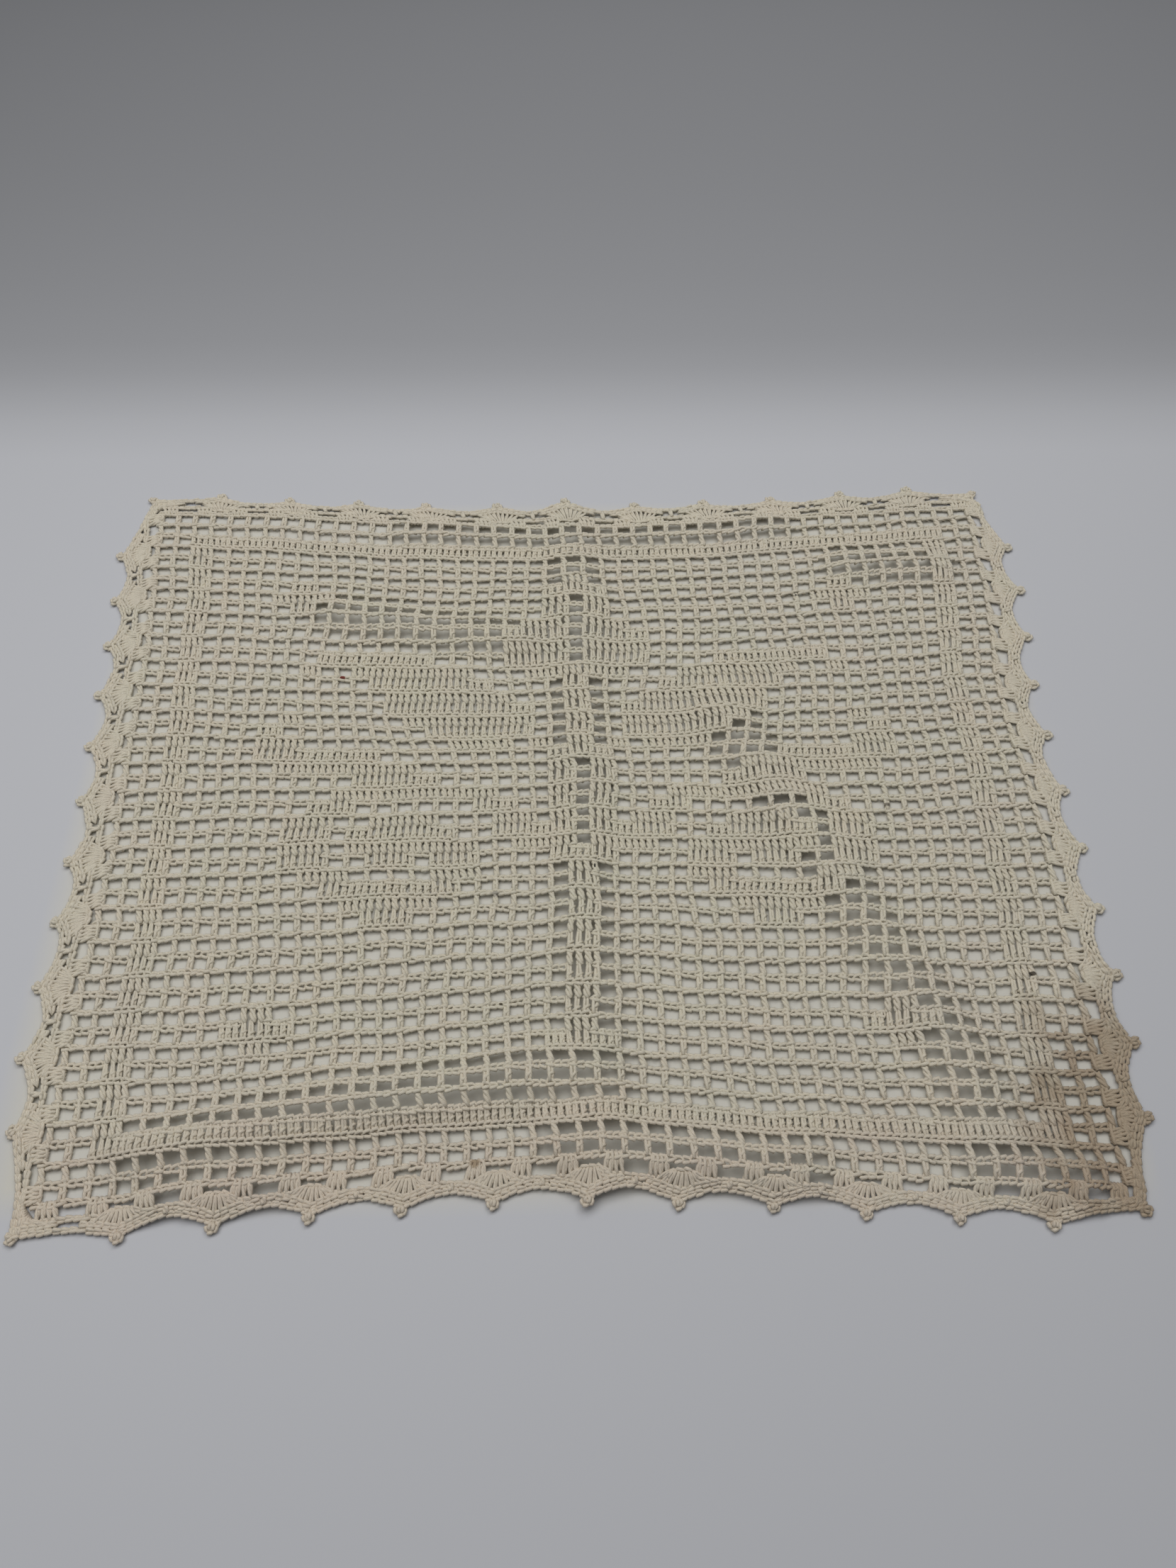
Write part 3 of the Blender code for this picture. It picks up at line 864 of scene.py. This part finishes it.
# Stains and specks: the cell that each lies in, its half width and depth in millimetres, how soft
# its rim is, and what it leaves of the cotton's colour.
MARKS = (
    ((24.5, -20.5), (38, 48), 0.7, (0.64, 0.57, 0.51)),
    ((-6.0, -27.0), (220, 40), 0.9, (0.97, 0.93, 0.93)),
    ((-5.1, -23.5), (1.9, 1.8), 0.6, (0.6, 0.53, 0.44)),
    ((-12.1, 9.5), (1.3, 1.0), 0.3, (0.3, 0.08, 0.07)),
    ((12.5, 16.1), (0.6, 0.6), 0.3, (0.06, 0.06, 0.06)),
    ((-4.5, -7.7), (1.8, 1.3), 0.8, (0.6, 0.6, 0.62)),
    ((15.5, -1.1), (1.7, 0.8), 0.6, (0.35, 0.34, 0.33)),
    ((21.5, -12.2), (1.5, 0.9), 0.3, (0.15, 0.14, 0.13)),
    ((0.5, -6.0), (0.4, 0.9), 0.3, (0.1, 0.1, 0.1)),
    ((0.7, -5.5), (0.7, 0.35), 0.3, (0.1, 0.1, 0.1)),
    ((-3.8, -14.5), (0.7, 0.35), 0.3, (0.25, 0.23, 0.2)),
    ((5.1, 13.5), (0.5, 0.4), 0.3, (0.2, 0.2, 0.2)),
)
# The middle of the cloth is a little greener than its rim.
GREEN_MIDDLE = ((0, 1), (165, 130), 0.8, (0.985, 1.0, 0.985))
# A mark's rim is ragged by this noise, up to this many times its softness.
RAGGED_NOISE = (3.0, 3.0, 0.6)
RAGGEDNESS = 2.5


class Nodes:
    """Adds nodes to a material and links them."""

    def __init__(self, material):
        material.use_nodes = True
        self.tree = material.node_tree
        self.shader = self.tree.nodes["Principled BSDF"]

    def add(self, kind, **settings):
        node = self.tree.nodes.new(kind)
        for key, value in settings.items():
            setattr(node, key, value)
        return node

    def link(self, source, target):
        self.tree.links.new(source, target)

    def math(self, operation, *values):
        node = self.add("ShaderNodeMath", operation=operation)
        for socket, value in zip(node.inputs, values):
            if isinstance(value, (int, float)):
                socket.default_value = value
            else:
                self.link(value, socket)
        return node.outputs[0]

    def mix(self, factor, first, second, blend="MIX"):
        """Mixes two colours. The node's sockets 0, 6, 7 and 2 are those for colours."""
        node = self.add("ShaderNodeMix", data_type="RGBA", blend_type=blend)
        sockets = (node.inputs[0], node.inputs[6], node.inputs[7])
        for socket, value in zip(sockets, (factor, first, second)):
            if isinstance(value, (int, float, tuple)):
                socket.default_value = value
            else:
                self.link(value, socket)
        return node.outputs[2]

    def limit(self, value):
        """The value, kept from 0 to 1."""
        return self.math("MINIMUM", self.math("MAXIMUM", value, 0), 1)

    def noise(self, vector, scale, detail, roughness):
        node = self.add("ShaderNodeTexNoise")
        node.inputs["Scale"].default_value = scale
        node.inputs["Detail"].default_value = detail
        node.inputs["Roughness"].default_value = roughness
        self.link(vector, node.inputs["Vector"])
        return node.outputs["Fac"]

    def spot(self, vector, mark):
        """How much of a mark shows at each place, from 0 to 1."""
        (column, row), radii, softness, _ = mark
        middle = lie(np.array(((column * COLUMN, row * ROW, BAR_HEIGHT),)))[0]
        away = self.add("ShaderNodeVectorMath", operation="SUBTRACT")
        self.link(vector, away.inputs[0])
        away.inputs[1].default_value = (middle[0], middle[1], 0)
        shrunk = self.add("ShaderNodeVectorMath", operation="MULTIPLY")
        self.link(away.outputs[0], shrunk.inputs[0])
        shrunk.inputs[1].default_value = (1 / (radii[0] * MM), 1 / (radii[1] * MM), 0)
        length = self.add("ShaderNodeVectorMath", operation="LENGTH")
        self.link(shrunk.outputs[0], length.inputs[0])
        ragged = self.noise(shrunk.outputs[0], *RAGGED_NOISE)
        ragged = self.math("MULTIPLY", self.math("SUBTRACT", ragged, 0.5), softness * RAGGEDNESS)
        out = self.math("ADD", length.outputs["Value"], ragged)
        inner = self.math("SUBTRACT", 1 + softness / 2, out)
        return self.limit(self.math("DIVIDE", inner, softness))


def make_cotton():
    """Cord of three plies in ecru cotton, with painted shade in the grooves between the plies, and
    its uneven tints, stains and specks.
    """
    material = bpy.data.materials.new("ecru_cotton")
    nodes = Nodes(material)
    shader = nodes.shader
    place = nodes.add("ShaderNodeTexCoord").outputs["Object"]
    ply = nodes.add("ShaderNodeAttribute", attribute_name="ply").outputs["Vector"]
    split = nodes.add("ShaderNodeSeparateXYZ")
    nodes.link(ply, split.inputs[0])
    angle = nodes.math("ARCTAN2", split.outputs[1], split.outputs[0])
    turn = nodes.math("MULTIPLY", split.outputs[2], 2 * math.pi / PLY_TURN)
    phase = nodes.math("MULTIPLY", nodes.math("SUBTRACT", angle, turn), PLIES)
    plies = nodes.math("ABSOLUTE", nodes.math("SINE", phase))
    fibre = nodes.noise(place, *FIBRE_NOISE)
    # Painted shade: the cotton is darkened towards the grooves between the plies.
    colour = nodes.mix(nodes.math("POWER", plies, GROOVE_SOFTNESS), PLY_GROOVE_SHADE, THREAD)
    for noise, low, high in TINTS:
        tint = nodes.mix(nodes.noise(place, *noise), low, high)
        colour = nodes.mix(1.0, colour, tint, "MULTIPLY")
    for mark in (GREEN_MIDDLE,) + MARKS:
        colour = nodes.mix(nodes.spot(place, mark), colour, mark[3] + (1.0,), "MULTIPLY")
    nodes.link(colour, shader.inputs["Base Color"])
    shader.inputs["Roughness"].default_value = COTTON_ROUGHNESS
    shader.inputs["Sheen Weight"].default_value = COTTON_SHEEN
    shader.inputs["Specular IOR Level"].default_value = COTTON_SPECULAR
    height = nodes.math("ADD", plies, nodes.math("MULTIPLY", fibre, FIBRE_SHARE))
    bump = nodes.add("ShaderNodeBump")
    bump.inputs["Strength"].default_value = RELIEF_STRENGTH
    bump.inputs["Distance"].default_value = RELIEF_DEPTH * MM
    nodes.link(height, bump.inputs["Height"])
    nodes.link(bump.outputs[0], shader.inputs["Normal"])
    return material


# The camera: its place in millimetres, how far it looks down and its turns in degrees, and its
# lens.
CAMERA_PLACE = (4.751, -244.334, 414.82)
CAMERA_DOWN, CAMERA_TURN, CAMERA_ROLL = 58.98, 0.954, 0.172
CAMERA_LENS = 25.83
SENSOR_WIDTH = 36
NEAREST_SEEN = 0.01


def make_camera():
    down, turn, roll = (math.radians(v) for v in (CAMERA_DOWN, CAMERA_TURN, CAMERA_ROLL))
    forward = Vector(
        (math.sin(turn) * math.cos(down), math.cos(turn) * math.cos(down), -math.sin(down))
    )
    level = Vector((math.cos(turn), -math.sin(turn), 0))
    above = level.cross(forward)
    right = level * math.cos(roll) + above * math.sin(roll)
    up = above * math.cos(roll) - level * math.sin(roll)
    data = bpy.data.cameras.new("camera")
    data.lens = CAMERA_LENS
    data.sensor_width = SENSOR_WIDTH
    data.clip_start = NEAREST_SEEN
    camera = bpy.data.objects.new("camera", data)
    turned = Matrix((right, up, -forward)).transposed().to_4x4()
    camera.matrix_world = Matrix.Translation(Vector(CAMERA_PLACE) * MM) @ turned
    bpy.context.scene.collection.objects.link(camera)
    bpy.context.scene.camera = camera


# The stage: a sheet of pale card, with painted shade that darkens it behind the doily, in metres.
CARD_HALF_WIDTH = 1.6
CARD_FRONT, CARD_BACK = -1.4, 2.2
CARD = (0.60, 0.605, 0.63, 1.0)
CARD_ROUGHNESS = 0.7
# Painted shade, standing in for a shaded backdrop: how pale the card is, at places from the doily's
# back edge to well behind it.
CARD_SHADE_TONES = (
    (0.205, 1.0),
    (0.235, 0.88),
    (0.256, 0.77),
    (0.274, 0.68),
    (0.3, 0.61),
    (0.355, 0.57),
    (0.47, 0.525),
    (0.66, 0.57),
)
# Painted bounce light: the card is painted warmer where the cotton lies over it, for the light that
# the
# cotton throws onto it: half the width and depth of that place, its soft rim and its colour.
BOUNCE_HALF = (0.205, 0.165)
BOUNCE_RIM = 0.012
CARD_BOUNCE_LIGHT = (0.67, 0.65, 0.585, 1.0)


def add_painted_card_shade(nodes, depth):
    """The card's painted shade at each depth, as a smooth ramp through its tones."""
    first, last = CARD_SHADE_TONES[0][0], CARD_SHADE_TONES[-1][0]
    tones = nodes.add("ShaderNodeValToRGB")
    tones.color_ramp.interpolation = "B_SPLINE"
    share = nodes.math("DIVIDE", nodes.math("SUBTRACT", depth, first), last - first)
    nodes.link(share, tones.inputs[0])
    marks = tones.color_ramp.elements
    for step, (y, tone) in enumerate(CARD_SHADE_TONES):
        at = (y - first) / (last - first)
        mark = marks[0] if step == 0 else marks[-1] if y == last else marks.new(at)
        mark.color = (tone, tone, tone, 1)
    return tones.outputs[0]


def make_card():
    """Pale card, with painted bounce light under the cotton and painted shade behind it."""
    material = bpy.data.materials.new("pale_card")
    nodes = Nodes(material)
    place = nodes.add("ShaderNodeTexCoord").outputs["Object"]
    split = nodes.add("ShaderNodeSeparateXYZ")
    nodes.link(place, split.inputs[0])
    # Painted bounce light: the card turns warmer under the cotton, fading over a soft rim.
    under = 1.0
    for axis, half in enumerate(BOUNCE_HALF):
        away = nodes.math("ABSOLUTE", split.outputs[axis])
        ramp = nodes.math("DIVIDE", nodes.math("SUBTRACT", half + BOUNCE_RIM / 2, away), BOUNCE_RIM)
        under = nodes.math("MULTIPLY", nodes.limit(ramp), under)
    colour = nodes.mix(under, CARD, CARD_BOUNCE_LIGHT)
    # Painted shade: the card is darkened from the doily's back edge backwards.
    colour = nodes.mix(1.0, colour, add_painted_card_shade(nodes, split.outputs[1]), "MULTIPLY")
    nodes.link(colour, nodes.shader.inputs["Base Color"])
    nodes.shader.inputs["Roughness"].default_value = CARD_ROUGHNESS
    return material


def make_stage():
    card = bmesh.new()
    corners = [
        card.verts.new((x, y, 0))
        for x, y in (
            (-CARD_HALF_WIDTH, CARD_FRONT),
            (CARD_HALF_WIDTH, CARD_FRONT),
            (CARD_HALF_WIDTH, CARD_BACK),
            (-CARD_HALF_WIDTH, CARD_BACK),
        )
    ]
    card.faces.new(corners)
    mesh = bpy.data.meshes.new("card")
    card.to_mesh(mesh)
    card.free()
    mesh.materials.append(make_card())
    stage = bpy.data.objects.new("card", mesh)
    bpy.context.scene.collection.objects.link(stage)
    return stage


# One broad soft light over the doily, in metres and watts, and the even light of the room.
LIGHT_PLACE = (-0.1, 0.15, 0.9)
LIGHT_TARGET = (-0.05, 0.05, 0)
LIGHT_SIZE = (1.5, 0.7)
LIGHT_POWER = 7.3
ROOM_COLOUR = (0.8, 0.82, 0.86, 1)
ROOM_STRENGTH = 0.17


def make_light():
    data = bpy.data.lights.new("soft_light", "AREA")
    data.shape = "RECTANGLE"
    data.size, data.size_y = LIGHT_SIZE
    data.energy = LIGHT_POWER
    light = bpy.data.objects.new("soft_light", data)
    light.location = LIGHT_PLACE
    heading = Vector(LIGHT_TARGET) - Vector(LIGHT_PLACE)
    light.rotation_euler = heading.to_track_quat("-Z", "Y").to_euler()
    bpy.context.scene.collection.objects.link(light)


def make_room():
    world = bpy.data.worlds.new("room")
    world.use_nodes = True
    background = world.node_tree.nodes["Background"]
    background.inputs["Color"].default_value = ROOM_COLOUR
    background.inputs["Strength"].default_value = ROOM_STRENGTH
    bpy.context.scene.world = world
    bpy.context.scene.view_settings.view_transform = "Standard"


def make_doily():
    """Every piece of the cloth, in one material."""
    cotton = make_cotton()
    yarns = work_net()
    yarns["shell_edging"] = work_edging()
    pieces = []
    for name, yarn in yarns.items():
        piece = make_piece(name, yarn)
        piece.data.materials.append(cotton)
        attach(piece, "root")
        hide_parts("lace_doily")
        pieces.append(piece)
    return pieces


make_camera()
stage = make_stage()
make_light()
make_room()
pieces = make_doily()
